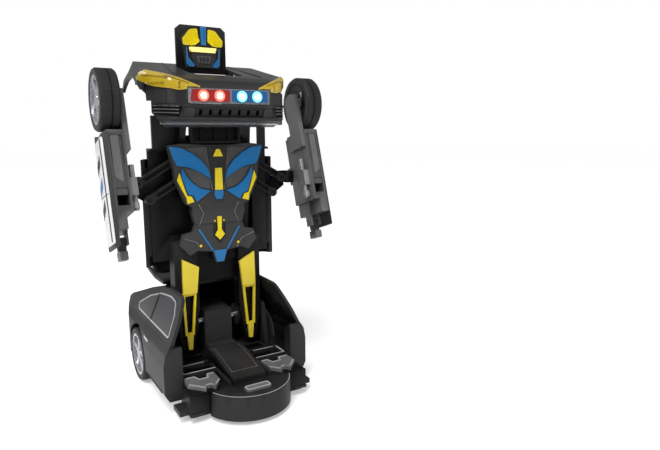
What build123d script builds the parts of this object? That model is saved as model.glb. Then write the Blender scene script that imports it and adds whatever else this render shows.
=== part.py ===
"""Transforming robot car: a battery toy that stands as a robot and folds down into a car.

Millimetres. +Z up, -Y is the front of both shapes, origin on the ground under the middle of
the standing robot. The standing robot is the rest pose. Body panels are drawn where they sit
on the folded car, then moved to where they stand on the robot.
"""
from build123d import *
import math
import os

# ---- driving dimensions -------------------------------------------------
CAR_HALF_WIDTH = 48.0
NOSE_Y = -166.0                 # car nose and tail, folded
TAIL_Y = 74.0
ROOF_Z = 72.0
BELT_Z = 41.5                   # underside of the moving cabin
SILL_Z = 9.0
WALL = 2.0
WHEEL_R = 18.0
WHEEL_IN, WHEEL_OUT = 37.0, 48.0
FRONT_AXLE = (-123.0, 18.0)     # y, z on the folded car
REAR_AXLE = (27.0, 18.0)
ARCH_R = 21.0
HINGE = (4.0, 42.0)             # y, z of the main folding hinge
SPLIT_R = 41.0                  # the moving shell stays outside this radius about the hinge
HOOD_SHIFT = (131.0, 162.0)     # y, z travel of the hood from car to robot
HOOD_REAR_Y = -106.0
HOOD_PIVOT = (-142.5, 26.5)     # on the folded car
HEAD_HINGE = (-119.5, 44.4)     # on the folded car
HEAD_FOLD = 103.0
LINK_LEN = 27.0
LINK_OPEN, LINK_SHUT = 60.0, 2.0
UPPER_PIVOT = (25.4, 150.5)     # x, z of the link pivots on the chest, robot standing
LOWER_PIVOT = (18.4, 140.5)
PITCH_AXIS_Y = -1.0
ARM_PITCH = 18.0
LEVEL_X = 26.5
LEVEL_OFFSET = 10.8             # level link's pivots stand this far behind and above the riser's
LEVEL_BASE = (HINGE[0] + LEVEL_OFFSET, HINGE[1] + LEVEL_OFFSET)
HATCH_HINGE = (17.6, 65.9)      # y, z
HATCH_TURN = 170.0
HATCH_HALF = 30.4
DECK_Z = 18.0
TURRET = (0.0, -50.0)
TURRET_R = 19.0
SHAFT_R = 2.5
FIT = 0.05                      # radial running clearance

SHIFT_X = LINK_LEN * (math.sin(math.radians(LINK_OPEN)) - math.sin(math.radians(LINK_SHUT)))
SHIFT_Z = LINK_LEN * (math.cos(math.radians(LINK_SHUT)) - math.cos(math.radians(LINK_OPEN)))
LINK_OUT = LINK_LEN * math.sin(math.radians(LINK_OPEN))
LINK_DROP = LINK_LEN * math.cos(math.radians(LINK_OPEN))


# ---- helpers ------------------------------------------------------------
def block(x0, x1, y0, y1, z0, z1):
    return Pos((x0 + x1) / 2, (y0 + y1) / 2, (z0 + z1) / 2) * Box(x1 - x0, y1 - y0, z1 - z0)


def rod_x(r, x0, x1, y, z):
    return Pos((x0 + x1) / 2, y, z) * Rot(0, 90, 0) * Cylinder(r, x1 - x0)


def rod_y(r, x, y0, y1, z):
    return Pos(x, (y0 + y1) / 2, z) * Rot(90, 0, 0) * Cylinder(r, y1 - y0)


def rod_z(r, x, y, z0, z1):
    return Pos(x, y, (z0 + z1) / 2) * Cylinder(r, z1 - z0)


def outline(points, radii=0.0):
    if isinstance(radii, (int, float)) and radii == 0:
        return make_face(Polyline(*points, close=True))
    return make_face(FilletPolyline(*points, radius=radii, close=True))


def side_prism(face, x0, x1):
    """Extrude a (y, z) face along X."""
    return Pos(x0, 0, 0) * extrude(Plane.YZ * face, x1 - x0)


def front_prism(face, y0, y1):
    """Extrude an (x, z) face along Y."""
    return Pos(0, y1, 0) * extrude(Plane.XZ * face, y1 - y0)


def plan_prism(face, z0, z1):
    return Pos(0, 0, z0) * extrude(face, z1 - z0)


def both(shape):
    return shape + mirror(shape, about=Plane.YZ)


def on_riser(shape):
    """From its place on the folded car to its place on the standing robot."""
    y, z = HINGE
    return Pos(0, y, z) * Rot(-90, 0, 0) * Pos(0, -y, -z) * shape


def on_hood(shape):
    return Pos(0, HOOD_SHIFT[0], HOOD_SHIFT[1]) * shape


def on_arm(shape, side):
    """An arm part drawn on the folded car's left side, moved to the open arm of one side."""
    z = UPPER_PIVOT[1] - LINK_DROP
    shape = Pos(SHIFT_X, 0, SHIFT_Z) * on_riser(shape)
    shape = Pos(0, PITCH_AXIS_Y, z) * Rot(-ARM_PITCH, 0, 0) * Pos(0, -PITCH_AXIS_Y, -z) * shape
    return shape if side > 0 else mirror(shape, about=Plane.YZ)


def save(name, shape, colour=(0.1, 0.1, 0.11)):
    solids = shape.solids()
    body = solids[0] if len(solids) == 1 else Compound(children=list(solids))
    body.label = name
    export_step(body, "parts/" + name + ".step")
    print(name, len(solids))


os.makedirs("parts", exist_ok=True)

# ---- the car's outer form: three outlines cut through each other ---------
SIDE = [(-162, 13), (-165.5, 19), (-166, 30), (-161, 36), (-155, 38.6), (-106, 50), (-58, 70.2),
        (-38, 72), (-10, 71), (27, 63.5), (64, 51), (72, 45), (74, 36), (74, 18), (71, SILL_Z),
        (-150, SILL_Z)]
SIDE_R = [3, 5, 4, 4, 6, 0, 14, 30, 30, 30, 6, 5, 5, 5, 2, 0]
SECTION = [(44.6, SILL_Z - 1), (48, 14), (48, 31), (46.8, 38), (43.5, 43.5), (31.5, 69.5), (24, 72.6),
           (0, 73.4)]
SECTION_R = [1.5, 4, 8, 5, 3, 5, 8, 20]
PLAN = [(22, -166.5), (35, -161.5), (42.5, -150), (47, -136), (48.6, -118), (48.6, 36), (46.5, 54),
        (43, 66), (35, 73), (0, 74.5)]
PLAN_R = [14, 10, 16, 20, 30, 40, 20, 12, 12, 40]


def inset_corners(points, amount):
    """Move every straight side of a closed outline inwards by amount."""
    n = len(points)
    area = sum(points[i][0] * points[(i + 1) % n][1] - points[(i + 1) % n][0] * points[i][1]
               for i in range(n))
    turn = 1 if area > 0 else -1
    lines = []
    for i in range(n):
        (ax, ay), (bx, by) = points[i], points[(i + 1) % n]
        length = math.hypot(bx - ax, by - ay)
        ux, uy = (bx - ax) / length, (by - ay) / length
        lines.append((ax - turn * uy * amount, ay + turn * ux * amount, ux, uy))
    corners = []
    for i in range(n):
        px, py, ux, uy = lines[i - 1]
        qx, qy, vx, vy = lines[i]
        cross = ux * vy - uy * vx
        along = ((qx - px) * vy - (qy - py) * vx) / cross
        corners.append((px + ux * along, py + uy * along))
    return corners


def body_form(inset=0.0):
    section = SECTION + [(-x, z) for x, z in reversed(SECTION[:-1])]
    plan = PLAN + [(-x, y) for x, y in reversed(PLAN[:-1])] + [(0, -167.5)]
    shapes = [(SIDE, SIDE_R), (section, SECTION_R + SECTION_R[-2::-1]),
              (plan, PLAN_R + PLAN_R[-2::-1] + [60])]
    faces = []
    for points, radii in shapes:
        if inset:
            points = inset_corners(points, inset)
            radii = [max(r - inset, 0.4) if r else 0 for r in radii]
        faces.append(outline(points, radii))
    form = side_prism(faces[0], -60, 60) & front_prism(faces[1], -180, 90)
    return form & plan_prism(faces[2], 0, 90)


BODY = body_form()
CORE = body_form(WALL) + (body_form(WALL) & block(-60, 60, -149, 70, 0, 12)).translate((0, 0, -3))
SKIN = BODY - CORE
GLAZE = BODY - body_form(0.9)
turning = rod_x(SPLIT_R, -60, 60, *HINGE)
fixed_round = rod_x(SPLIT_R - 0.8, -60, 60, *HINGE)
rear_zone = (block(-60, 60, HINGE[0] - SPLIT_R + 0.2, 80, 0, HINGE[1])
             + (fixed_round & block(-60, 60, -60, 80, HINGE[1], 90))
             + block(-60, 60, HINGE[0], 80, HINGE[1], 90))

# ---- rear shell: the fixed rear half of the car --------------------------
rear_shell = SKIN & rear_zone
rim = (BODY & rear_zone & block(-60, 60, -36.8, -34.6, SILL_Z, HINGE[1])) \
    - block(-36.5, 36.5, -40, -30, 0, 60)
posts = both(block(36.5, 44, -34.6, -28, SILL_Z, 39))
rear_shell = rear_shell + rim + posts
rear_shell -= both(rod_x(ARCH_R, 36, 60, *REAR_AXLE) + block(36, 60, 6.4, 47.6, 0, 18))
rear_shell -= block(-37.6, 37.6, -40, 58, 0, 17)
lamp_zone = both(block(26, 60, 60, 80, 35, 42))
tail_lamps = GLAZE & lamp_zone & block(-60, 60, 40, 80, 30, 50)
rear_shell = rear_shell - (GLAZE & lamp_zone)
floor_tabs = both(block(35.5, 47, -32, 4, DECK_Z, 20.5) + block(35.5, 47, 49, 58, DECK_Z, 20.5))
rear_shell += floor_tabs & BODY
hatch_lip = rod_x(SPLIT_R - 2.2, -60, 60, *HINGE) + block(-60, 60, HINGE[0], 60, 40, 90)
hatch_hole = block(-HATCH_HALF, HATCH_HALF, -60, 16.6, 58, 90)
hatch = (SKIN & hatch_lip & block(-HATCH_HALF + 0.4, HATCH_HALF - 0.4, -60, 16.2, 58, 90))
rear_shell -= hatch_hole
for x0, x1 in ((-26, -20), (20, 26)):
    lug = block(x0, x1, 14.0, HATCH_HINGE[0], 63.6, 66.6) & BODY
    hatch += lug + rod_x(1.5, x0, x1, *HATCH_HINGE)
    rear_shell -= block(x0 - 0.3, x1 + 0.3, 10, 19.6, 62, 70)
hatch -= block(-60, 60, 17.6, 30, 50, HATCH_HINGE[1] - 1.6)
hatch += both(rod_x(0.8, 17.8, 28.4, *HATCH_HINGE))
rear_shell -= rod_x(1.2, -28, 28, *HATCH_HINGE)
rear_shell += both(block(26.6, 28.6, 16.6, 18.8, 63, 66.3) + block(17.4, 19.4, 16.6, 18.8, 63, 66.3))
rear_shell -= rod_x(0.8 + FIT, -40, 40, *HATCH_HINGE)
turned_hatch = Pos(0, *HATCH_HINGE) * Rot(-HATCH_TURN, 0, 0) * Pos(0, -HATCH_HINGE[0], -HATCH_HINGE[1])
save("roof_hatch", turned_hatch * hatch)
save("rear_shell", rear_shell)
save("tail_lamps", tail_lamps)

# ---- base: tray, cover, battery bay, turret ------------------------------
nose_plan = make_face(Polyline((26, -53), (26, -55)) + ThreePointArc((26, -55), (0, -74), (-26, -55))
                      + Polyline((-26, -55), (-26, -53), (26, -53)))
tray = (block(-36, 36, -53, 57, 5, DECK_Z) + plan_prism(nose_plan, 3, DECK_Z)
        + both(block(26, 38.5, -53.5, -38, 5, 17)))
tray -= block(-34, 34, -22, 55, 5, 16) + both(block(24, 36.5, -51.5, -38.5, 5, 15))
tray -= rod_z(TURRET_R + 1.6, *TURRET, 3, 15.5) + block(-34, 34, -29, -20, 5, 16)
tray += both(block(38.5, 43.5, -50, -38, 5, 8)) + both(block(30, 38.5, -54.4, -38, 5, 6.5))
tray += block(-29, 29, -22, 22.4, DECK_Z - 2, 20.3)
tray -= block(-27.4, 27.4, -21.6, 21.6, 5, 19.1)
tray += block(-36, 36, 23, 31, 15, 22.5)
console = side_prism(outline([(-52, 18), (-52, 21), (-22, 27), (-10, 27), (-10, 20), (-22, 20),
                               (-22, 18)]), -11, 11)
console -= side_prism(outline([(-47, 22.6), (-47, 26), (-24, 30), (-24, 26.6)]), -8, 8)
rails = both(block(12.5, 14.5, -53, -21.9, 18, 21))
brackets = block(14, 29, -7, -4.6, 20.2, 22) + block(14, 29, -18, -15.6, 20.2, 22) \
    + block(27, 29, -18, -4.6, 20.2, 22)
towers = side_prism(outline([(-9, 18), (17, 18), (12, 49.5), (-2, 49.5)], [0, 0, 4, 4]), 31.2, 34.6)
link_tower = side_prism(outline([(6, 18), (24, 18), (18.4, 56.6), (11, 56.6)], [0, 0, 3, 3]), 31.2, 34.6)
tray += console + rails + both(brackets) + both(towers) + link_tower
tray += rod_x(1.9, LEVEL_X - 2.6, 31.3, *LEVEL_BASE)
tray -= rod_x(SHAFT_R, -40, 40, *HINGE)
tray -= rod_x(2.0 + FIT, -40, 40, *REAR_AXLE) + rod_x(2.8, -30, 30, *REAR_AXLE)
save("base_tray", tray)

bottom = block(-34, 34, -31, 55, 3, 5) - rod_z(TURRET_R + 2.2, *TURRET, 2, 6)
bottom += both(block(24.5, 36.3, -51.3, -38.7, 3, 5)) - rod_z(TURRET_R + 2.2, *TURRET, 2, 6)
bottom += block(22, 36.3, -38.7, -31, 3, 5) + block(-36.3, -22, -38.7, -31, 3, 5)
bottom -= rod_z(TURRET_R + 2.2, *TURRET, 2, 6)
door_gap = block(-28, 28, -22, 21, 2, 6)
bottom -= door_gap
screw_spots = [(x, y) for x in (-30, 30) for y in (-26, 51)]
for x, y in screw_spots:
    bottom -= rod_z(1.2, x, y, 2, 6) + rod_z(2.3, x, y, 2, 3.9)
bottom -= block(-2.2, 5.2, 43.8, 46.2, 2, 6)
save("bottom_cover", bottom)
battery_door = block(-27.7, 27.7, -21.7, 20.7, 3, 4.8) - block(-8, 8, -20, -17, 2.5, 3.8)
save("battery_door", battery_door)
cells = [rod_x(6.9, -24, 23, y, 11.9) + rod_x(2.5, 23, 24.2, y, 11.9) for y in (-14.4, 0.0, 14.4)]
save("battery_cells", cells[0] + cells[1] + cells[2])
screws = rod_z(2.1, *screw_spots[0], 3, 3.9) + rod_z(1.15, *screw_spots[0], 3.9, 12)
screw_set = screws
for x, y in screw_spots[1:]:
    screw_set += Pos(x - screw_spots[0][0], y - screw_spots[0][1], 0) * screws
save("base_screws", screw_set)
save("circuit_board", block(-22, 12, 26, 53, 8, 9.6) + block(-14, -4, 34, 44, 9.6, 12))
save("speaker", rod_z(9, 22, 42, 6, 11) + rod_z(4.5, 22, 42, 11, 14))

gearbox = block(-9.5, 9.5, -9, 30, 20.31, 49) - rod_x(SHAFT_R, -20, 20, *HINGE)
gearbox -= block(-20, 20, -10, -2, 27, 60)
gearbox += block(-9.5, 9.5, 30, 44, 22.6, 30)
gearbox -= block(-20, 20, 22.3, 31.1, 17, 22.6) + rod_x(10.0, -20, 20, 37, 38)
save("gearbox_housing", gearbox)
save("motor", rod_x(9.95, -13, 13, 37, 38) + rod_x(1, 13, 17, 37, 38))
save("hinge_shaft", rod_x(SHAFT_R, -37, 37, *HINGE) - rod_x(1, -38, 38, *HINGE))

foot = outline([(16, -33), (21, -33), (22.5, -38), (27, -38), (28.5, -33), (35.6, -33), (36, -43),
                (28, -52.6), (26.5, -49), (23.5, -49), (22, -52.6), (16.5, -45)])
feet = both(plan_prism(foot, DECK_Z + 0.01, 20.2))
feet = feet - both(block(36, 40, -60, -30, 10, 30))
save("foot_plates", feet)
badge = outline([(-8, -61.5), (-6.8, -60.3), (6.8, -60.3), (8, -61.5), (8, -65.5), (6.8, -66.7),
                 (-6.8, -66.7), (-8, -65.5)])
save("badge_plate", plan_prism(badge, DECK_Z + 0.01, 19.3))
save("power_switch", block(-1.9, 1.9, 44, 46, 2.2, 5.2) + block(-5, 6, 42.6, 47.4, 5.1, 6.4))

disc = rod_z(TURRET_R, *TURRET, 3.4, 6) + rod_z(6, *TURRET, 6, 15)
disc -= both(block(7, 13.4, -57, -43, 2, 8)) + rod_x(1.55, -16, 16, TURRET[1], 6.5)
disc += both(block(5.2, 6.6, -53, -47, 6, 9.6)) - rod_x(1.55, -16, 16, TURRET[1], 6.5)
disc += both(block(13.8, 15.4, -53, -47, 5.9, 9.6)) - rod_x(1.55, -16, 16, TURRET[1], 6.5)
save("turret_disc", disc)
t_wheels = both(rod_x(6.5, 7.6, 12.8, TURRET[1], 6.5)) + rod_x(1.5, -15, 15, TURRET[1], 6.5)
save("turret_wheels", t_wheels)


# ---- road wheels ----------------------------------------------------------
def tyre(y, z):
    ring = Plane.XY * outline([(14.2, -5.5), (17.2, -5.5), (18, -4.4), (18, 4.4), (17.2, 5.5),
                               (14.2, 5.5)])
    ring = revolve(Plane.XZ * ring, Axis.Z)
    groove = revolve(Plane.XZ * outline([(17.4, -1.2), (19, -1.2), (19, -0.4), (17.4, -0.4)]), Axis.Z)
    return Pos((WHEEL_IN + WHEEL_OUT) / 2, y, z) * Rot(0, 90, 0) * (ring - groove)


def hub(y, z, bore):
    mid = (WHEEL_IN + WHEEL_OUT) / 2
    disc_part = rod_x(14.2, mid - 3.6, mid + 1.0, 0, 0) - rod_x(11.5, mid - 4, mid - 1.4, 0, 0)
    rim_ring = rod_x(14.2, mid + 1.0, mid + 5.2, 0, 0) - rod_x(12.4, mid, mid + 6, 0, 0)
    spokes = rod_x(3.4, mid - 3.6, mid + 4.6, 0, 0)
    for k in range(5):
        arm = block(mid + 1.0, mid + 4.2, -1.7, 1.7, 2.0, 13.2)
        spokes += Rot(k * 72, 0, 0) * arm
    whole = disc_part + rim_ring + spokes
    return Pos(0, y, z) * (whole - rod_x(bore, mid - 9, mid + 3.4, 0, 0))


save("rear_axle", rod_x(2.0, -45.8, 45.8, *REAR_AXLE))
save("rear_tyres", both(tyre(*REAR_AXLE)))
save("rear_hubs", both(hub(*REAR_AXLE, 2.0)))

# ---- riser: legs, torso, cabin -------------------------------------------
leg = front_prism(outline([(14, 99), (29.5, 99), (29.5, 52), (28, 38), (25.8, 27), (18.4, 27),
                           (16.6, 38), (14, 54)]), -6, 3.79)
leg -= block(18, 26, -7, -3.5, 34, 64)
leg += rod_x(7.5, 14, 30.6, *HINGE)
leg -= rod_x(SHAFT_R + FIT, 10, 40, *HINGE)
yoke = block(-14, 14, -3, 3.79, 84, 99) + block(-14, 14, 0, 3.79, 70, 84)
save("leg_frame", both(leg) + yoke)

thigh = outline([(14.2, 82), (24.8, 88), (25.2, 65), (16, 65)])
shin = outline([(16.2, 65), (25.6, 65), (24.6, 37), (18.6, 37)]) \
    - outline([(17.8, 63.5), (24.0, 63.5), (23.1, 38.6), (20.0, 38.6)])
rod = outline([(19.4, 36.9), (23.6, 36.9), (22.8, 27.2), (20.2, 27.2)])
plates = front_prism(thigh, -8.2, -6) + front_prism(shin, -7.4, -6) + front_prism(rod, -7.6, -6)
save("leg_plates", both(plates))

pelvis = [(16, 110), (17.5, 105.5), (24, 104), (26, 97), (20, 90.5), (15, 93), (5, 91.5), (2.6, 84)]
pelvis_face = outline(pelvis + [(-x, z) for x, z in reversed(pelvis)])
save("pelvis_plate", front_prism(pelvis_face, -9.4, -6.01))
chest = [(9, 160), (22, 161), (31, 160), (30.5, 156), (28.4, 148), (27.4, 138), (21.2, 123.2),
         (17.5, 121.5), (17.8, 117), (16, 110.2)]
chest_face = outline(chest + [(-x, z) for x, z in reversed(chest)])
chest_plate = front_prism(chest_face, -10, -5.01)
for sx in (-1, 1):
    for px, pz in (UPPER_PIVOT, LOWER_PIVOT):
        chest_plate -= rod_y(1.8, sx * px, -9, 0, pz)
save("chest_plate", chest_plate)

frame = block(-14.5, 14.5, -5, 3.8, 99.1, 158) + block(-40, 40, 3.8, 6.3, 86, 158)
frame += block(-40, 40, -1.2, 6.3, 156.5, 158) + block(-38, 38, -1.2, 1, 158, 178)
frame += block(-12, 12, -5, 4, 158, 161)
frame -= block(-18, 18, -3, 3, 166, 180)
ear = side_prism(outline([(-5, 161), (1, 161), (1, 172), (-6.6, 189), (-16.3, 187.5)]), 19, 23) \
    + rod_x(5, 19, 23, -11.5, 188.5)
frame += both(ear) + both(block(12, 23, -5, 1, 158, 163))
frame -= rod_x(2.5 + FIT, -30, 30, -11.5, 188.5)
frame += block(-29, 29, 1.0, 4.6, 99.1, 103)
frame -= block(LEVEL_X - 3.2, LEVEL_X + 3.2, -3, 8, 93, 180)
frame -= block(LEVEL_X - 3.2, LEVEL_X + 6, -3, 8, 160, 180)
save("torso_frame", frame)
pins = None
for sx in (-1, 1):
    for px, pz in (UPPER_PIVOT, LOWER_PIVOT):
        pin = rod_y(1.8, sx * px, -9, -0.3, pz) + rod_y(2.6, sx * px, -0.4, 0.3, pz)
        pins = pin if pins is None else pins + pin
save("link_pins", pins)
vent = block(-16.5, 16.5, -9, -5.01, 161.2, 173) - block(-14, 14, -10, -7, 163, 171)
for x in (-9, 0, 9):
    vent += block(x - 1, x + 1, -8.2, -7, 163, 171)
vent += block(-14, 14, -8, -7, 166.4, 167.6)
vent += block(-12, 12, -5.01, -1.2, 161.2, 165.5)
save("vent_block", vent)

cabin_zone = block(-60, 60, HOOD_REAR_Y + 0.8, HINGE[0], BELT_Z + 0.4, 90) - turning
cabin = SKIN & cabin_zone
post_set = None
for px, py in ((22, -95), (22, -45), (9, -70)):
    post = both(rod_z(2.4, px, py, 44.31, 80))
    post_set = post if post_set is None else post_set + post
cabin += post_set & BODY & cabin_zone
cabin += (BODY & cabin_zone & both(block(36, 60, -100, -44, BELT_Z, 43.4))) \
    - block(-40.2, 40.2, -110, 0, 30, 90)
lightbar_spot = (-46.0, -33.0)
save("cabin_shell", on_riser(cabin))
bar = block(-28, 28, lightbar_spot[0], lightbar_spot[1], 72, 76) - BODY
mid_box = block(-7, 7, lightbar_spot[0] + 1, lightbar_spot[1] - 1, 76, 80.5)
bar = bar + mid_box
save("lightbar_base", on_riser(bar))
for name, x0, x1 in (("lightbar_lens_red", -28, -7.05), ("lightbar_lens_blue", 7.05, 28)):
    lens = block(x0, x1, lightbar_spot[0] + 1, lightbar_spot[1] - 1, 76.01, 82.5)
    lens = chamfer(lens.edges().group_by(Axis.Z)[-1], 1.6)
    save(name, on_riser(lens))

# ---- hood unit --------------------------------------------------------------
hood_zone = block(-60, 60, NOSE_Y - 4, HOOD_REAR_Y, 0, 90)
hood = SKIN & hood_zone
arch = both(rod_x(ARCH_R, 35.5, 60, *FRONT_AXLE)
            + block(35.5, 60, FRONT_AXLE[0] - ARCH_R, -90, 0, FRONT_AXLE[1])
            + side_prism(outline([(-120, 29.5), (-90, 29.5), (-90, 5), (-120, 5)]), 35.5, 60)
            + side_prism(outline([(-140.5, 31), (-145.4, 28), (-146, 21.5), (-155, 12),
                                    (-155, 5), (-120, 5)]), 35.5, 60))
hood -= arch + block(-60, 60, -150, -90, 0, 24)
recess = plan_prism(outline([(-17.1, -116.4), (-17.1, -145), (-14, -148.2), (14, -148.2),
                             (17.1, -145), (17.1, -116.4)]), 30, 60)
hood -= recess
window_slot = block(-25.5, 25.5, -170, -150, 22.6, 31)
grille_slot = block(-22, 22, -170, -150, 15, 20)
lamp_plan = outline([(29, -164), (37, -159), (43, -150), (46.8, -134), (41.5, -139), (36, -149),
                     (29, -157)])
lamp_zone = both(plan_prism(lamp_plan, 30, 60))
hood = hood - (window_slot & SKIN) - (grille_slot & SKIN) - (GLAZE & lamp_zone)
save("headlamps", on_hood(GLAZE & lamp_zone & block(-60, 60, -170, -120, 33.5, 60)))
save("led_window", on_hood((BODY - body_form(1.6)) & window_slot))
grille = (body_form(0.8) - CORE) & grille_slot
for x in range(-18, 19, 6):
    grille -= block(x - 1, x + 1, -170, -150, 16, 19)
save("bumper_grille", on_hood(grille))
bosses = both(block(14, 18.6, -150, -136, 22, 31) + block(14, 18.6, -156, -148, 20, 32))
rib = block(-40, 40, -156, -153.4, 19, 33) & CORE
hood_frame = bosses + rib + both(block(34, 37, -156, -150, 28, 36) & CORE)
hood_frame -= rod_x(2.5, -30, 30, *HOOD_PIVOT)
save("hood_frame", on_hood(hood_frame))
save("hood_pivot_pin", on_hood(rod_x(2.5, -24, 24, *HOOD_PIVOT)))
save("led_board", on_hood(block(-24, 24, -158, -156.01, 22, 31)
                          + both(rod_y(2.2, 7, -160, -158, 26.8) + rod_y(2.2, 18, -160, -158, 26.8))))
hood += both(block(17.3, 20.2, -123, -116, 41.4, 46.4) & BODY)
hood -= rod_x(1.3 + FIT, -19.5, 19.5, *HEAD_HINGE)

# ---- head -------------------------------------------------------------------
hy, hz = HEAD_HINGE[0] + HOOD_SHIFT[0], HEAD_HINGE[1] + HOOD_SHIFT[1]
plate_face = outline([(-16.5, hz + 2), (16.5, hz + 2), (16.5, hz + 26), (13.5, hz + 28.6),
                      (-13.5, hz + 28.6), (-16.5, hz + 26)])
plate = front_prism(plate_face, hy + 0.3, hy + 2.4)
plate += block(-16.5, 16.5, hy - 1.4, hy + 2.4, hz - 0.6, hz + 2.01) + rod_x(1.3, -19.2, 19.2, hy, hz)
save("head_plate", plate)
helmet = outline([(-11, hz + 2.2), (-12.5, hz + 14), (-14.3, hz + 20), (-9, hz + 26), (-3, hz + 28),
                  (3, hz + 28), (9, hz + 26), (14.3, hz + 20), (12.5, hz + 14), (11, hz + 2.2)])
face = outline([(-5, hz + 2.4), (-8, hz + 8), (-8.5, hz + 15), (-4, hz + 18.5), (4, hz + 18.5),
                (8.5, hz + 15), (8, hz + 8), (5, hz + 2.4)])
crest = outline([(-3.4, hz + 16), (-2.2, hz + 27.6), (2.2, hz + 27.6), (3.4, hz + 16)])
head_face = front_prism(helmet, hy - 2.2, hy + 0.29) + front_prism(face, hy - 3.6, hy - 2.2) \
    + front_prism(crest, hy - 3.4, hy - 2.2)
save("head_face", head_face)

# ---- level link ---------------------------------------------------------------
top = (HINGE[0] - 15.5 + LEVEL_OFFSET, HINGE[1] + 146.5 + LEVEL_OFFSET)
dy, dz = top[0] - LEVEL_BASE[0], top[1] - LEVEL_BASE[1]
lean = math.degrees(math.atan2(-dy, dz))
length = math.hypot(dy, dz)
link = block(-1.5, 1.5, -1.5, 1.5, 0, length) + rod_x(3.2, -1.5, 1.5, 0, 0) \
    + rod_x(2.6, -1.5, 1.5, 0, length)
link -= rod_x(1.9 + FIT, -3, 3, 0, 0) + rod_x(1.3 + 2 * FIT, -3, 3, 0, length)
save("level_link", Pos(LEVEL_X, *LEVEL_BASE) * Rot(lean, 0, 0) * link)
link_boss = block(LEVEL_X + 2, LEVEL_X + 5, -137, -128, 34, 50) & body_form(0.5)
link_boss += rod_x(1.3, LEVEL_X - 2.2, LEVEL_X + 2.1, HOOD_PIVOT[0] + LEVEL_OFFSET,
                   HOOD_PIVOT[1] + LEVEL_OFFSET)
hood += link_boss
save("hood_shell", on_hood(hood))

# ---- arms ---------------------------------------------------------------------
DOOR_Y = (HOOD_REAR_Y + 1.2, -38.0)
door_zone = block(45.5, 60, DOOR_Y[0], DOOR_Y[1], 0, BELT_Z - 0.4) \
    - rod_x(ARCH_R + 0.4, 30, 60, *FRONT_AXLE)
door = BODY & door_zone
for side, name in ((-1, "right"), (1, "left")):
    ux, uz = side * UPPER_PIVOT[0], UPPER_PIVOT[1]
    ox, oz = side * (UPPER_PIVOT[0] + LINK_OUT), UPPER_PIVOT[1] - LINK_DROP
    lx, lz = side * LOWER_PIVOT[0], LOWER_PIVOT[1]
    qx, qz = side * (LOWER_PIVOT[0] + LINK_OUT), LOWER_PIVOT[1] - LINK_DROP
    for kind, ax, az in (("upper", ux, uz), ("lower", lx, lz)):
        bar = block(0, LINK_LEN, -4.4, -0.6, -2.2, 2.2) + rod_y(3.0, 0, -4.4, -0.6, 0) \
            + rod_y(3.0, LINK_LEN, -4.4, -0.6, 0)
        bar -= rod_y(1.8 + FIT, 0, -6, 6, 0) + rod_y(1.6 + FIT, LINK_LEN, -6, 6, 0)
        bar -= block(5, LINK_LEN - 5, -6, -3.4, -1.0, 1.0)
        turned = Rot(0, 90 - LINK_OPEN, 0) * bar
        turned = turned if side > 0 else mirror(turned, about=Plane.YZ)
        save(name + "_" + kind + "_link", Pos(ax, 0, az) * turned)
    plate = front_prism(outline([(ox + side * 3.4, oz + 4), (ox - side * 3, oz + 4),
                                 (qx - side * 3, qz), (qx, qz - 3.2), (ox + side * 3.4, oz - 6)]), 0, 3)
    plate += rod_y(1.6, ox, -4.6, 0.01, oz) + rod_y(1.6, qx, -4.6, 0.01, qz)
    x0, x1 = sorted((ox + side * 3.4, ox + side * 8.6))
    plate += block(x0, x1, PITCH_AXIS_Y - 3.6, 3, oz - 4, oz + 4)
    x0, x1 = sorted((ox + side * 8.6, ox + side * 14))
    plate += rod_x(2.2, x0, x1, PITCH_AXIS_Y, oz)
    save(name + "_shoulder_bracket", plate)

    pitch_y = HINGE[0] + HINGE[1] - (oz - SHIFT_Z)
    pitch_z = HINGE[1] - HINGE[0] + PITCH_AXIS_Y
    arm = block(36, 45.4, -103.4, -56, 10.5, 38) + block(40, 45.4, -56, -46.9, 10.5, 38)
    arm += block(38, 40, -56, -46.9, 23, 38) + block(36, 45.4, pitch_y - 6, pitch_y + 6, 38, 40.8)
    arm -= rod_x(WHEEL_R + 0.8, 36.3, 60, *FRONT_AXLE)
    arm -= block(37.5, 44, -100, -84, 9, 30) + block(37.5, 44, -70, -60, 9, 30)
    arm += block(33, 36.2, -128, -96, 11, 25) + rod_x(7, 33, 36.2, *FRONT_AXLE)
    arm += block(33, 36.01, -103, -92, 11, 30)
    arm += rod_x(2.0, 36, 45.6, *FRONT_AXLE)
    arm -= rod_x(2.2 + FIT, 30, 60, pitch_y, pitch_z)
    arm += block(44.2, 45.4, -46.9, -39.5, 23.5, 30.5) + block(38, 39.2, -46.9, -39.5, 23.5, 30.5)
    arm -= rod_x(1.5 + FIT, 30, 60, -42.0, 27.0)
    save(name + "_arm_frame", on_arm(arm, side))
    save(name + "_door_panel", on_arm(door, side))
    save(name + "_wheel_tyre", on_arm(tyre(*FRONT_AXLE), side))
    save(name + "_wheel_hub", on_arm(hub(*FRONT_AXLE, 2.0 + FIT), side))
    fist = block(39.5, 43.9, -44.2, -31, 24.8, 29.2) + block(39.5, 43.9, -36, -31, 22.6, 31.4)
    fist += rod_x(1.5, 38.1, 45.3, -42, 27)
    save(name + "_hand", on_arm(fist, side))
    gun = rod_y(1.6, 33.2, -84, -57.5, 16) + block(31.6, 35.99, -76, -66, 12.5, 19)
    gun += rod_y(2.3, 33.6, -62, -58.5, 16)
    save(name + "_blaster", on_arm(gun, side))
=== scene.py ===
"""Looks of the transforming robot car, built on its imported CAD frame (metres)."""
import math
import bpy
import bmesh
from mathutils import Vector, Matrix
from mathutils.bvhtree import BVHTree


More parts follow.
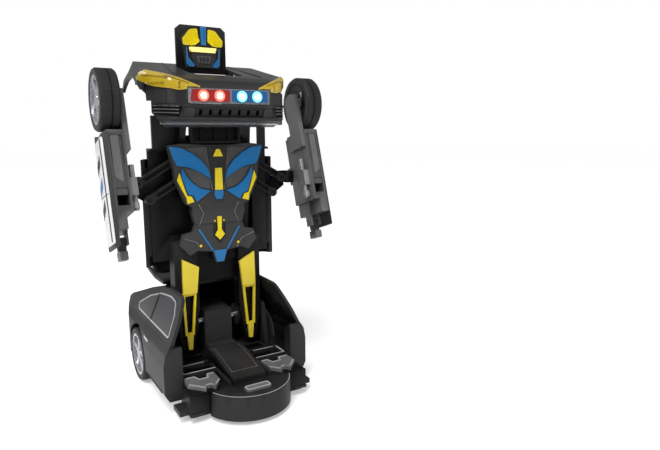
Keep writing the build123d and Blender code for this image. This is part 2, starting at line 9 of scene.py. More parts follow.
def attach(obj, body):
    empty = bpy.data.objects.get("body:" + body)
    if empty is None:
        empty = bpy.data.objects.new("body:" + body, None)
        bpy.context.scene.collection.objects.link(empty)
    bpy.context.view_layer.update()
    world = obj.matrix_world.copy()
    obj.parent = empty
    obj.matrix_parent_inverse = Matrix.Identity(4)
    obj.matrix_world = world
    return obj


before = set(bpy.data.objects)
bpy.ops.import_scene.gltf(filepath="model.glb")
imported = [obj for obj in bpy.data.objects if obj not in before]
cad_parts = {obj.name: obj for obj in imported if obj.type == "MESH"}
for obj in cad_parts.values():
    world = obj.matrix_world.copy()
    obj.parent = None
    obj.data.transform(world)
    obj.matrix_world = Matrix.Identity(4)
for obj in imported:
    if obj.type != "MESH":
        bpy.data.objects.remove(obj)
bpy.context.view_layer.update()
MM = 0.001                      # the patches and plates are drawn in millimetres
HINGE = (4, 42)                 # y, z of the main folding hinge
HOOD_SHIFT = (131, 162)         # y, z travel of the hood from the folded car to the robot
ARM_SHIFT = (22.44, 13.48)      # x, z travel of an arm when its links swing out
ARM_PITCH = 18                  # degrees that a raised arm leans
ARM_PIVOT = (0, -1, 137)        # a point on the axis of that lean
DECK_Z = 18.0                   # top of the base tray
CHEST_Y = -10.0                 # forward faces of the chest plate and of the pelvis plate
PELVIS_Y = -9.4
WINDOW_Y = -166.1               # face of the light window on the folded car
BADGE_Z = 221                   # middle of the head plate
WHEEL_CENTRE = (60.95, -5.015, 186.129)     # inner face of the left shoulder wheel
NOSE_CENTRE_Y, NOSE_R = -46.7, 26.7         # round front of the base, seen from above
X, Z = (1, 0, 0), (0, 0, 1)
FORWARD = (0, -1, 0)
LEFT_RIGHT = (("left", 1), ("right", -1))
RIGHT_LEFT = LEFT_RIGHT[::-1]


# ---- materials ------------------------------------------------------------
def new_material(name):
    """An empty material with one Principled shader."""
    mat = bpy.data.materials.new(name)
    mat.use_nodes = True
    tree = mat.node_tree
    tree.nodes.clear()
    out = tree.nodes.new("ShaderNodeOutputMaterial")
    bsdf = tree.nodes.new("ShaderNodeBsdfPrincipled")
    tree.links.new(bsdf.outputs[0], out.inputs[0])
    return mat, tree, bsdf


def noise(tree, scale, detail=3.0, rough=0.5):
    """Fine unevenness fixed to the object."""
    coord = tree.nodes.new("ShaderNodeTexCoord")
    tex = tree.nodes.new("ShaderNodeTexNoise")
    tex.inputs["Scale"].default_value = scale
    tex.inputs["Detail"].default_value = detail
    tex.inputs["Roughness"].default_value = rough
    tree.links.new(coord.outputs["Object"], tex.inputs["Vector"])
    return tex.outputs["Fac"]


def ramp(tree, source, stops):
    """Turn a value into a colour through a list of (position, colour)."""
    node = tree.nodes.new("ShaderNodeValToRGB")
    elements = node.color_ramp.elements
    while len(elements) < len(stops):
        elements.new(0.5)
    for element, (pos, colour) in zip(elements, stops):
        element.position = pos
        element.color = colour if len(colour) == 4 else (*colour, 1.0)
    tree.links.new(source, node.inputs["Fac"])
    return node.outputs["Color"]


def grey(value):
    return (value, value, value)


def plastic(name, colour, rough=0.35, grain=0.04, coat=0.0, edge_highlight=0.12, spread=0.12, metallic=0.0,
            specular=0.35):
    """Moulded or painted plastic: mottled colour, uneven gloss, fine grain and a painted highlight that
    lightens sharp edges.
    """
    mat, tree, bsdf = new_material(name)
    low = tuple(c * (1 - spread) for c in colour)
    high = tuple(min(c * (1 + spread) + 0.004, 1.0) for c in colour)
    mottle = ramp(tree, noise(tree, 60.0), [(0.3, low), (0.7, high)])
    geo = tree.nodes.new("ShaderNodeNewGeometry")
    # Painted highlight: sharp edges, where Pointiness is high, are screened lighter.
    edge = ramp(tree, geo.outputs["Pointiness"], [(0.52, grey(0.0)), (0.62, grey(edge_highlight))])
    mix = tree.nodes.new("ShaderNodeMixRGB")
    mix.blend_type = "SCREEN"
    mix.inputs["Fac"].default_value = 1.0
    tree.links.new(mottle, mix.inputs["Color1"])
    tree.links.new(edge, mix.inputs["Color2"])
    tree.links.new(mix.outputs["Color"], bsdf.inputs["Base Color"])
    gloss = ramp(tree, noise(tree, 25.0, 4.0), [(0.3, grey(rough * 0.85)), (0.75, grey(rough * 1.2))])
    tree.links.new(gloss, bsdf.inputs["Roughness"])
    bump = tree.nodes.new("ShaderNodeBump")
    bump.inputs["Strength"].default_value = grain
    bump.inputs["Distance"].default_value = 0.0002
    tree.links.new(noise(tree, 2600.0, 2.0), bump.inputs["Height"])
    tree.links.new(bump.outputs[0], bsdf.inputs["Normal"])
    bsdf.inputs["Metallic"].default_value = metallic
    bsdf.inputs["Specular IOR Level"].default_value = specular
    if coat:
        bsdf.inputs["Coat Weight"].default_value = coat
        bsdf.inputs["Coat Roughness"].default_value = 0.08
    return mat


def lens(name, colour, glow=0.0, alpha=0.75):
    """Clear or tinted plastic, lit from inside when glow is above zero; on the visor, which has no lamp, the
    glow is painted.
    """
    mat, tree, bsdf = new_material(name)
    tint = ramp(tree, noise(tree, 90.0), [(0.3, tuple(c * 0.8 for c in colour)), (0.7, colour)])
    tree.links.new(tint, bsdf.inputs["Base Color"])
    bsdf.inputs["Roughness"].default_value = 0.08
    bsdf.inputs["Coat Weight"].default_value = 0.6
    bsdf.inputs["Alpha"].default_value = alpha
    if glow:
        bsdf.inputs["Emission Color"].default_value = (*colour, 1.0)
        bsdf.inputs["Emission Strength"].default_value = glow
    return mat


M = {
    "shell": plastic("shell_gloss_black", (0.0055, 0.0052, 0.006), 0.40, 0.03, 0.03, 0.03, specular=0.16),
    "hood": plastic("hood_anthracite", (0.022, 0.0205, 0.021), 0.32, 0.03, 0.05, 0.03, specular=0.2),
    "frame": plastic("frame_black", (0.004, 0.0034, 0.004), 0.36, 0.12, 0.0, 0.03, specular=0.12),
    "chest": plastic("chest_charcoal", (0.015, 0.0135, 0.014), 0.34, 0.06, 0.0, 0.04, specular=0.14),
    "panel": plastic("panel_grey", (0.048, 0.046, 0.048), 0.4, 0.06, 0.1, 0.08, specular=0.25),
    "trim": plastic("trim_grey", (0.035, 0.034, 0.037), 0.36, 0.08, 0.1, 0.1),
    "white": plastic("door_white", (0.82, 0.82, 0.83), 0.28, 0.03, 0.3, 0.1, 0.03),
    "yellow": plastic("paint_yellow", (0.86, 0.66, 0.0), 0.34, 0.04, 0.08, 0.06, 0.05, specular=0.15),
    "blue": plastic("paint_blue", (0.0, 0.155, 0.42), 0.34, 0.04, 0.05, 0.06, 0.05, specular=0.15),
    "ochre": plastic("lamp_ochre", (0.55, 0.38, 0.01), 0.18, 0.03, 0.8, 0.1, 0.1),
    "silver": plastic("wheel_silver", (0.62, 0.63, 0.66), 0.28, 0.03, 0.3, 0.1, 0.05, 0.75),
    "tyre": plastic("tyre_rubber", (0.009, 0.009, 0.0095), 0.55, 0.35, 0.0, 0.03, specular=0.25),
    "steel": plastic("bright_steel", (0.55, 0.55, 0.57), 0.25, 0.03, 0.0, 0.1, 0.05, 1.0),
    "circuit": plastic("circuit_green", (0.01, 0.12, 0.04), 0.35, 0.08, 0.2, 0.1),
    "cell": plastic("cell_jacket", (0.05, 0.06, 0.08), 0.25, 0.03, 0.4, 0.1),
    "glass": plastic("window_dark", (0.03, 0.031, 0.034), 0.22, 0.01, 0.15, 0.02, specular=0.3),
    "arm": plastic("arm_grey", (0.062, 0.061, 0.064), 0.36, 0.08, 0.05, 0.1, specular=0.25),
    "arm_light": plastic("arm_panel_grey", (0.12, 0.118, 0.122), 0.34, 0.08, 0.05, 0.1, specular=0.25),
    # Painted highlight: light grey bands laid along lit edges of the base.
    "edge": plastic("painted_edge_highlight_grey", (0.46, 0.45, 0.47), 0.3, 0.03, 0.1, 0.05),
    "plate": plastic("plate_grey", (0.075, 0.073, 0.078), 0.3, 0.08, 0.2, 0.1),
    "blaster": plastic("blaster_silver", (0.30, 0.30, 0.31), 0.3, 0.06, 0.1, 0.2, 0.1, 0.5),
    # Painted shade: flat black for openings and hollows that lie in shadow.
    "painted_shade": plastic("painted_shade_black", (0.003, 0.003, 0.003), 0.7, 0.05, 0.0, 0.0, specular=0.1),
    "ochre_dark": plastic("lamp_shadow", (0.25, 0.15, 0.004), 0.3, 0.03, 0.5, 0.05, 0.1),
    # Painted glow: the visor has no lamp behind it.
    "visor": lens("visor_amber_painted_glow", (0.95, 0.80, 0.25), 0.8, 1.0),
    "led_red": lens("led_ring_red", (0.95, 0.10, 0.06), 2.2, 1.0),
    "led_blue": lens("led_ring_blue", (0.12, 0.55, 0.95), 2.0, 1.0),
    "led_core": lens("led_core_white", (1.0, 0.95, 0.92), 6.0, 1.0),
    "red_rib": lens("red_lens_rib", (0.95, 0.16, 0.10), 0.6, 1.0),
    "blue_rib": lens("blue_lens_rib", (0.10, 0.30, 0.95), 0.6, 1.0),
    "window_red": lens("window_tint_red", (0.25, 0.012, 0.01), 0.45, 1.0),
    "window_blue": lens("window_tint_blue", (0.01, 0.075, 0.20), 0.45, 1.0),
    "clear": lens("clear_lens", (0.75, 0.8, 0.85), 0.0, 0.28),
    "red": lens("red_lens", (0.55, 0.012, 0.008), 0.25, 0.95),
    "blue_lens": lens("blue_lens", (0.006, 0.06, 0.45), 0.25, 0.95),
}
NODE_MATERIAL = {
    "shell": "rear_shell roof_hatch cabin_shell right_door_panel left_door_panel",
    "hood": "hood_shell headlamps",
    "frame": "base_tray bottom_cover battery_door speaker gearbox_housing turret_disc leg_frame "
             "torso_frame link_pins vent_block bumper_grille hood_frame head_plate level_link "
             "right_upper_link left_upper_link right_lower_link left_lower_link "
             "right_shoulder_bracket left_shoulder_bracket",
    "chest": "chest_plate pelvis_plate head_face",
    "plate": "foot_plates badge_plate",
    "arm": "right_arm_frame left_arm_frame",
    "trim": "power_switch right_hand left_hand",
    "blaster": "right_blaster left_blaster",
    "white": "lightbar_base",
    "yellow": "leg_plates",
    "silver": "rear_hubs right_wheel_hub left_wheel_hub",
    "tyre": "rear_tyres right_wheel_tyre left_wheel_tyre turret_wheels",
    "steel": "base_screws motor hinge_shaft rear_axle hood_pivot_pin",
    "circuit": "circuit_board led_board",
    "cell": "battery_cells",
    "clear": "led_window",
    "red": "tail_lamps lightbar_lens_red",
    "blue_lens": "lightbar_lens_blue",
}
for key, names in NODE_MATERIAL.items():
    for node in names.split():
        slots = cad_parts[node].data.materials
        for i in range(len(slots)):
            slots[i] = M[key]
        if not len(slots):
            slots.append(M[key])


# ---- helpers for added pieces ------------------------------------------------
def finish_piece(name, mesh, body, material, bevel=0.0, segments=2):
    obj = bpy.data.objects.new(name, mesh)
    bpy.context.collection.objects.link(obj)
    mesh.materials.append(material)
    if bevel:
        mod = obj.modifiers.new("edge", "BEVEL")
        mod.width = bevel * MM
        mod.segments = segments
        mod.limit_method = "ANGLE"
        mod.angle_limit = math.radians(35)
    for poly in mesh.polygons:
        poly.use_smooth = False
    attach(obj, body)
    return obj


def slab(name, outline, origin, across, up, thickness, body, material, bevel=0.25):
    """A flat plate: a 2-D outline (mm) laid on a plane through origin (mm), growing outwards."""
    across, up, origin = Vector(across).normalized(), Vector(up).normalized(), Vector(origin)
    out = across.cross(up).normalized()
    bm = bmesh.new()
    low = [bm.verts.new((origin + across * u + up * v) * MM) for u, v in outline]
    high = [bm.verts.new((origin + across * u + up * v + out * thickness) * MM) for u, v in outline]
    bm.faces.new(low[::-1])
    bm.faces.new(high)
    n = len(outline)
    for i in range(n):
        j = (i + 1) % n
        bm.faces.new((low[i], low[j], high[j], high[i]))
    bmesh.ops.recalc_face_normals(bm, faces=bm.faces)
    mesh = bpy.data.meshes.new(name)
    bm.to_mesh(mesh)
    bm.free()
    return finish_piece(name, mesh, body, material, bevel)


def flip(points):
    """Mirror an outline left to right."""
    return [(-u, v) for u, v in reversed(points)]


def sided(points, sign):
    """An outline drawn for the left side, on the side that sign gives."""
    return list(points) if sign > 0 else flip(points)


def circle(radius, middle, count):
    """Corners of a regular polygon about (0, middle)."""
    turns = (2 * math.pi * k / count for k in range(count))
    return [(radius * math.cos(t), middle + radius * math.sin(t)) for t in turns]


def rounded(points, radius, steps=4):
    """Round every corner of a polygon with short chords."""
    out = []
    n = len(points)
    for i in range(n):
        p = Vector(points[i])
        a, b = Vector(points[i - 1]) - p, Vector(points[(i + 1) % n]) - p
        cut = min(radius, a.length * 0.45, b.length * 0.45)
        start, end = p + a.normalized() * cut, p + b.normalized() * cut
        for k in range(steps + 1):
            t = k / steps
            out.append(tuple(start * (1 - t) ** 2 + p * 2 * t * (1 - t) + end * t ** 2))
    return out


def inset(outline, width):
    """The same outline drawn smaller by width on every side, scaled about its middle."""
    cu = sum(u for u, v in outline) / len(outline)
    cv = sum(v for u, v in outline) / len(outline)
    su = max(abs(u - cu) for u, v in outline)
    sv = max(abs(v - cv) for u, v in outline)
    return [(cu + (u - cu) * (1 - width / su), cv + (v - cv) * (1 - width / sv)) for u, v in outline]


def turned(name, profile, place, axis, body, material, steps=32, hollow=False):
    """A turned piece: profile is (radius, height) in mm, spun about axis through place."""
    axis = Vector(axis).normalized()
    side = axis.orthogonal().normalized()
    other = axis.cross(side)
    bm = bmesh.new()
    rings = []
    for r, h in profile:
        rings.append([bm.verts.new((Vector(place) + axis * h + (side * math.cos(t) + other * math.sin(t)) * r)
                                   * MM) for t in (2 * math.pi * k / steps for k in range(steps))])
    for a, b in zip(rings, rings[1:]):
        for i in range(steps):
            j = (i + 1) % steps
            bm.faces.new((a[i], a[j], b[j], b[i]))
    if hollow:
        for i in range(steps):
            j = (i + 1) % steps
            bm.faces.new((rings[-1][i], rings[-1][j], rings[0][j], rings[0][i]))
    else:
        bm.faces.new(rings[0][::-1])
        bm.faces.new(rings[-1])
    bmesh.ops.recalc_face_normals(bm, faces=bm.faces)
    mesh = bpy.data.meshes.new(name)
    bm.to_mesh(mesh)
    bm.free()
    obj = finish_piece(name, mesh, body, material, 0.2)
    for poly in mesh.polygons:
        poly.use_smooth = len(poly.vertices) == 4
    return obj


def front(name, outline, y, thickness, body, material, bevel=0.25):
    """A plate on a forward-facing surface at y, outline in (x, z)."""
    return slab(name, outline, (0, y, 0), X, Z, thickness, body, material, bevel)


# ---- patches laid on the CAD surfaces ------------------------------------------
REST = Matrix.Identity(4)
RISER = Matrix(((1, 0, 0, 0), (0, 0, 1, HINGE[0] - HINGE[1]), (0, -1, 0, HINGE[0] + HINGE[1]), (0, 0, 0, 1)))
HOOD = Matrix.Translation((0, *HOOD_SHIFT))


def arm_place(sign):
    """From the folded car's coordinates to the standing robot's arm on one side."""
    pivot = Vector(ARM_PIVOT)
    swing = Matrix.Translation((sign * ARM_SHIFT[0], 0, ARM_SHIFT[1]))
    lean = Matrix.Rotation(math.radians(-ARM_PITCH), 4, "X")
    return Matrix.Translation(pivot) @ lean @ Matrix.Translation(-pivot) @ swing @ RISER


VIEWS = {       # across, up, outward, in the coordinates the patch is drawn in
    "front": ((1, 0, 0), (0, 0, 1), (0, -1, 0)),
    "back": ((1, 0, 0), (0, 0, 1), (0, 1, 0)),
    "top": ((1, 0, 0), (0, 1, 0), (0, 0, 1)),
    "under": ((1, 0, 0), (0, 1, 0), (0, 0, -1)),
    "left": ((0, 1, 0), (0, 0, 1), (1, 0, 0)),
    "right": ((0, 1, 0), (0, 0, 1), (-1, 0, 0)),
}
RAY_START = 260                 # rays start this far outside the object
TREES = {}


def surface(names):
    """A search tree over the surfaces of the named CAD nodes."""
    if names not in TREES:
        verts, faces = [], []
        for node in names.split():
            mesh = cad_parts[node].data
            start = len(verts)
            verts += [v.co.copy() for v in mesh.vertices]
            faces += [[start + i for i in p.vertices] for p in mesh.polygons]
        TREES[names] = BVHTree.FromPolygons(verts, faces)
    return TREES[names]


def band(points, width, closed=True):
    """Quads of a strip of even width along a path."""
    pts = [Vector(p) for p in points]
    n = len(pts)
    left, right = [], []
    for i, p in enumerate(pts):
        before = p - pts[i - 1] if closed or i else pts[1] - p
        after = pts[(i + 1) % n] - p if closed or i < n - 1 else before
        before, after = before.normalized(), after.normalized()
        mean = (before + after).normalized() if (before + after).length > 1e-6 else before
        across = Vector((-mean.y, mean.x))
        grow = 1 / max(abs(across.dot(Vector((-before.y, before.x)))), 0.5)
        left.append(tuple(p + across * width / 2 * grow))
        right.append(tuple(p - across * width / 2 * grow))
    last = n if closed else n - 1
    return [(left[i], left[(i + 1) % n], right[(i + 1) % n], right[i]) for i in range(last)]


def drape(name, shapes, view, place, nodes, body, material, lift=0.35, sink=0.3, step=2.5):
    """Lay flat shapes (mm, drawn in one view) on the surface of CAD nodes as a thin skin."""
    if not isinstance(shapes[0][0], (tuple, list)):
        shapes = [shapes]
    across, up, out = (Vector(v) for v in VIEWS[view])
    tree = surface(nodes)
    turn = place.to_3x3()
    ray = -(turn @ out)
    flat = bmesh.new()
    for shape in shapes:
        flat.faces.new([flat.verts.new((u, v, 0)) for u, v in shape])
    bmesh.ops.remove_doubles(flat, verts=flat.verts, dist=1e-4)
    bmesh.ops.triangulate(flat, faces=flat.faces)
    for axis in (0, 1):
        low = min(v.co[axis] for v in flat.verts)
        high = max(v.co[axis] for v in flat.verts)
        for k in range(1, int((high - low) / step) + 1):
            co, no = Vector(), Vector()
            co[axis], no[axis] = low + k * step, 1
            bmesh.ops.bisect_plane(flat, geom=flat.verts[:] + flat.edges[:] + flat.faces[:],
                                   plane_co=co, plane_no=no, dist=1e-4)
    bmesh.ops.dissolve_degenerate(flat, dist=1e-3, edges=flat.edges)
    flat.verts.ensure_lookup_table()
    tops, lows = {}, {}
    bm = bmesh.new()
    for v in flat.verts:
        start = (place @ (across * v.co.x + up * v.co.y + out * RAY_START)) * MM
        hit, normal, _, _ = tree.ray_cast(start, ray)
        if hit is None:
            continue
        normal = normal if normal.dot(ray) < 0 else -normal
        tops[v] = bm.verts.new(hit + normal * lift * MM)
        lows[v] = bm.verts.new(hit - normal * sink * MM)
    kept = [f for f in flat.faces if all(v in tops for v in f.verts)]
    inside = set(kept)
    for f in kept:
        bm.faces.new([tops[v] for v in f.verts])
        bm.faces.new([lows[v] for v in reversed(f.verts)])
        for loop in f.loops:
            if sum(g in inside for g in loop.edge.link_faces) == 1:
                p, q = loop.vert, loop.link_loop_next.vert
                bm.faces.new((tops[q], tops[p], lows[p], lows[q]))
    for loose in [v for v in bm.verts if not v.link_faces]:
        bm.verts.remove(loose)
    bmesh.ops.recalc_face_normals(bm, faces=bm.faces)
    mesh = bpy.data.meshes.new(name)
    for edge in bm.edges:
        if len(edge.link_faces) == 2 and edge.calc_face_angle() > 0.6:
            edge.smooth = False
    bm.to_mesh(mesh)
    bm.free()
    flat.free()
    obj = finish_piece(name, mesh, body, material)
    for poly in mesh.polygons:
        poly.use_smooth = True
    return obj


def plate(name, outline, view, depth, place, thickness, body, material, bevel=0.25):
    """A flat plate drawn in one view at a depth along its outward direction."""
    across, up, out = (Vector(v) for v in VIEWS[view])
    turn = place.to_3x3()
    if across.cross(up).dot(out) < 0:
        across = -across
        outline = [(-u, v) for u, v in outline]
    return slab(name, outline, place @ (out * depth), turn @ across, turn @ up, thickness, body,
                material, bevel)


# ---- chest and pelvis relief ----------------------------------------------------
UPPER_WING = [(5.0, 138.4), (6.6, 145), (10.6, 150.4), (16.4, 155), (23, 158.4), (30.8, 159.4),
              (28.6, 152), (26.4, 147.6), (19.6, 146.6), (14.4, 144.4), (9.4, 141.6)]
LOWER_WING = [(23.4, 146.2), (21, 141.6), (17.4, 137), (12, 133), (5.2, 131.2), (10.6, 127.4),
              (14.6, 124.7), (16.9, 128.7), (20, 129.6), (22, 135.4), (23.8, 141)]
SIDE_BAR = [(25.0, 143.4), (26.7, 138.6), (21.2, 127.4), (20.7, 123.6), (16.2, 124.8),
            (17.7, 128.1), (20.7, 129.0), (22.7, 135.2)]
GREY_LENS = [(22, 146.2), (15, 144.6), (9.6, 142.2), (5.6, 138.2), (5.6, 132.4), (12, 134), (17, 138)]
UPPER_GREY = [(8.6, 159), (20, 158.2), (13, 153.6), (8.6, 149.4), (5.6, 144.6)]
for label, sign in RIGHT_LEFT:
    for part, outline, mat, slot_name, lift in (
            ("upper_wing", UPPER_WING, "blue", "lens_blue", 1.0),
            ("lower_wing", LOWER_WING, "blue", "lens_blue", 0.9),
            ("side_bar", SIDE_BAR, "yellow", "yellow", 0.7),
            ("grey_lens", GREY_LENS, "panel", "trim_grey", 0.4),
            ("upper_grey", UPPER_GREY, "panel", "trim_grey", 0.4)):
        front(label + "_" + part, sided(outline, sign), CHEST_Y, lift, "riser", M[mat])
front("chest_spine", [(-5, 141), (-7, 158.8), (7, 158.8), (5, 141), (3.6, 131), (-3.6, 131)], CHEST_Y,
      0.9, "riser", M["chest"])
front("chest_tip", [(-3.4, 152.8), (-1.2, 157.4), (1.2, 157.4), (3.4, 152.8)], CHEST_Y - 0.9, 0.6, "riser",
      M["yellow"])
front("chest_bar", [(-2.3, 145.6), (2.3, 145.6), (2.7, 131.6), (-2.7, 131.6)], CHEST_Y - 0.9, 0.7,
      "riser", M["yellow"])
front("chest_box", [(-3.0, 131.4), (3.0, 131.4), (3.0, 128.4), (2.0, 125.6), (-2.0, 125.6),
                    (-3.0, 128.4)], CHEST_Y, 1.4, "riser", M["blue"])
front("arrow_seat", [(-4.2, 116), (4.2, 116), (4.2, 102), (0, 96.4), (-4.2, 102)], PELVIS_Y, 0.5,
      "riser", M["frame"])
front("waist_arrow", [(-1.6, 114.4), (1.6, 114.4), (1.3, 105.8), (3.4, 102.4), (0, 98.9),
                      (-3.4, 102.4), (-1.3, 105.8)], PELVIS_Y - 0.5, 0.7, "riser", M["yellow"])
for label, sign in RIGHT_LEFT:
    line = sided([(14.4, 106.6), (13.2, 107), (4.4, 92.4), (5.4, 92.0)], sign)
    front(label + "_vee_line", line, PELVIS_Y, 0.6, "riser", M["blue"], 0.15)
    turned(label + "_hip_dot", [(0.9, 0), (0.9, 0.5), (0.5, 0.8)], (sign * 12.8, PELVIS_Y, 96.0), FORWARD,
           "riser", M["yellow"], 16)
    turned(label + "_arrow_dot", [(0.6, 0), (0.6, 0.4), (0.3, 0.6)], (sign * 3.1, PELVIS_Y - 0.4, 111.5),
           FORWARD, "riser", M["yellow"], 12)
front("vee_tip", [(-4.6, 92.2), (4.6, 92.2), (2.4, 84.4), (-2.4, 84.4)], PELVIS_Y, 0.9, "riser",
      M["blue"])

# ---- head: a plain visor face ------------------------------------------------------
def face_pair(name, outline, mat, lift):
    """A painted patch on each half of the face."""
    for label, points in (("left", outline), ("right", flip(outline))):
        drape(label + "_" + name, points, "front", REST, "head_face", "head", M[mat], lift)


BROW = [(2.6, 224.6), (3.6, 232.8), (8.4, 232.0), (13.4, 226.0), (12.8, 222.2), (6.0, 222.2)]
CHEEK = [(13.6, 221.2), (10.6, 221.2), (10.2, 215), (5.8, 210.4), (6.4, 209.2), (9.6, 209.2), (13.0, 213.4)]
face_pair("brow", rounded(BROW, 0.8), "yellow", 0.9)
face_pair("cheek_guard", rounded(CHEEK, 0.5), "blue", 0.9)
drape("head_crest", [(-1.9, 233.9), (1.9, 233.9), (1.5, 222.6), (-1.5, 222.6)], "front", REST,
      "head_face", "head", M["blue"], 1.1)
# Painted glow on the visor, which has no lamp.
drape("visor", rounded([(-9.2, 221.2), (9.2, 221.2), (8.4, 218.2), (-8.4, 218.2)], 0.8), "front", REST,
      "head_face", "head", M["visor"], 0.5)
drape("mouth_guard", rounded([(-4.8, 215.9), (4.8, 215.9), (3.9, 211.4), (-3.9, 211.4)], 0.6), "front",
      REST, "head_face", "head", M["panel"], 0.5)
for k in (-1, 0, 1):
    slot = [(k * 2.4 - 0.5, 215.2), (k * 2.4 + 0.5, 215.2), (k * 2.2 + 0.4, 212), (k * 2.2 - 0.4, 212)]
    drape("mouth_slot_%d" % (k + 2), slot, "front", REST, "head_face", "head", M["frame"],
          0.75)

# ---- hood: lamps, light bar window, bumper --------------------------------------
LAMP = rounded([(17.5, 31.4), (27, 35.4), (36, 38.6), (43.5, 41.0), (46.6, 40.2), (46.4, 36.2), (41.5, 32.2),
                (30, 29.6)], 1.4)
INTAKE = rounded([(28, 21.6), (41, 22.6), (43.6, 16.2), (30, 14.4)], 1.0)
HOOD_SKIN = "hood_shell headlamps"
LIGHT_X, LIGHT_Z = (7.0, 16.8), 26.9        # the two lamps behind each half of the light window
LIGHT_RING = [(3.3, 0), (3.2, 0.5), (2.4, 0.9), (2.2, 0.5)]
LIGHT_CORE = [(1.7, 0.3), (1.6, 0.8), (1.0, 1.15), (0.3, 1.25)]
for label, sign in LEFT_RIGHT:
    drape(label + "_lamp_cover", sided(LAMP, sign), "front", HOOD, HOOD_SKIN, "hood", M["ochre"],
          0.75, 0.4, 0.9)
    fold = sided([(24.5, 33.2), (34, 36.2), (44.5, 38.4)], sign)
    drape(label + "_lamp_fold", band(fold, 0.5, False), "front", HOOD, HOOD_SKIN, "hood", M["ochre_dark"],
          1.0, 0.2, 0.9)
    # Painted shade: the intake opening is a flat black patch on the hood.
    drape(label + "_intake", sided(INTAKE, sign), "front", HOOD, HOOD_SKIN, "hood", M["painted_shade"],
          0.15)
    drape(label + "_intake_rim", band(sided(INTAKE, sign), 0.6), "front", HOOD, HOOD_SKIN, "hood",
          M["shell"], 0.7)
    for k in range(3):
        z = 16.6 + 1.9 * k
        louvre = [(sign * 30.5, z), (sign * 41.5, z + 0.5), (sign * 41.5, z + 1.1), (sign * 30.5, z + 0.6)]
        drape("%s_louvre_%d" % (label, k), louvre, "front", HOOD, HOOD_SKIN, "hood", M["trim"],
              0.6)
    crease = [(sign * 22.4, -108), (sign * 25.5, -130), (sign * 28, -148)]
    drape(label + "_hood_crease", band(crease, 0.8, False), "top", HOOD, HOOD_SKIN, "hood", M["hood"],
          0.4)
    glow, tint, slot_name = (("led_blue", "window_blue", "lens_blue") if sign > 0
                             else ("led_red", "window_red", "lens_red"))
    window = [(sign * 0.6, 30.2), (sign * 23.5, 30.2), (sign * 24.5, 23.6), (sign * 0.6, 23.6)]
    drape(label + "_light_window", rounded(window, 0.6), "front", HOOD, "led_window hood_shell", "hood",
          M[tint], 0.35)
    for k, x in enumerate(LIGHT_X):
        place = HOOD @ Vector((sign * x, WINDOW_Y, LIGHT_Z))
        turned("%s_light_ring_%d" % (label, k), LIGHT_RING, place, FORWARD, "hood", M[glow], 24)
        turned("%s_light_core_%d" % (label, k), LIGHT_CORE, place, FORWARD, "hood", M["led_core"],
               20)
drape("light_lip", band([(-26, 22.7), (26, 22.7)], 0.9, False), "front", HOOD, HOOD_SKIN, "hood",
      M["silver"], 0.7)
for k, z in enumerate((21.2, 14.2)):
    drape("bumper_rib_%d" % k, band([(-40, z), (40, z)], 0.9, False), "front", HOOD, HOOD_SKIN, "hood",
          M["hood"], 0.6)
drape("bumper_lip", band([(-44, 11.2), (44, 11.2)], 0.8, False), "front", HOOD, HOOD_SKIN, "hood",
      M["silver"], 0.5)

# Painted shade: a black plate behind the bumper grille.
plate("grille_shade_plate", [(-24.5, 13.5), (24.5, 13.5), (24.5, 21.5), (-24.5, 21.5)], "front", 158.2, HOOD,
      0.8, "hood", M["painted_shade"])

# ---- foot plates, base lines and wheel dishes ---------------------------------------
# Front toe edge and rear rim edge of the left foot plate, drawn light grey as painted highlights.
FOOT_EDGE = [(16.9, -44.6), (22.2, -51.4), (23.8, -48.2), (26.2, -48.2), (27.8, -51.4), (35.2, -42.8)]
FOOT_RIM = [(16.9, -34), (20.4, -34), (22.0, -39), (27.5, -39), (29.1, -34), (34.8, -34)]
DECK = "base_tray gearbox_housing"
TOE_BARS = (((33.4, -19), (35.4, -19), (35.4, -31.2), (33.4, -31.2)),
            ((13.6, -30.2), (35.4, -30.2), (35.4, -31.8), (13.6, -31.8)),
            ((17.0, -18.2), (33.0, -18.2), (33.0, -19.8), (17.0, -19.8)))
# The hollow dish on the inner face of a shoulder wheel, with two bright marks.
DISH = [(14.0, 0), (14.0, 1.3), (13.2, 1.45), (12.2, 0.7), (6.4, 0.4), (6.2, 0)]
DISH_SLOTS = ((-6.5, 6.5), (5.5, -7.5))     # y, z from the wheel's middle
SLOT_X = 60.5
for label, sign in LEFT_RIGHT:
    for part, path in (("foot_edge", FOOT_EDGE), ("foot_rim", FOOT_RIM)):
        drape(label + "_" + part, band(sided(path, sign), 0.8, False), "top", REST, "foot_plates", "base",
              M["edge"], 0.3)
    # Painted highlights along the side edges of the middle ramp.
    drape(label + "_ramp_line", band([(sign * 8.6, -14), (sign * 8.6, -44)], 0.5, False), "top", REST, DECK,
          "base", M["trim"], 0.3)
    for k, bar in enumerate(TOE_BARS):
        points = sided(bar, sign)
        plate("%s_toe_frame_%d" % (label, k), points, "top", DECK_Z - 0.6, REST, 4.6, "base", M["shell"])
        # Painted highlight: a thin light grey plate on top of each black toe bar.
        plate("%s_toe_edge_%d" % (label, k), inset(points, 0.45), "top", DECK_Z + 3.9, REST, 0.25, "base",
              M["edge"], 0.08)
    middle = (sign * WHEEL_CENTRE[0], WHEEL_CENTRE[1], WHEEL_CENTRE[2])
    turned(label + "_wheel_dish", DISH, middle, (-sign, 0, 0), label + "_front_wheel", M["shell"],
           40, True)
    for k, (dy, dz) in enumerate(DISH_SLOTS):
        u, v = -sign * (WHEEL_CENTRE[1] + dy), WHEEL_CENTRE[2] + dz
        slab("%s_dish_slot_%d" % (label, k), [(u - 1.0, v - 1.7), (u + 1.0, v - 1.7), (u + 1.0, v + 1.7),
                                              (u - 1.0, v + 1.7)], (sign * SLOT_X, 0, 0), (0, -sign, 0), Z,
             0.5, label + "_front_wheel", M["silver"])
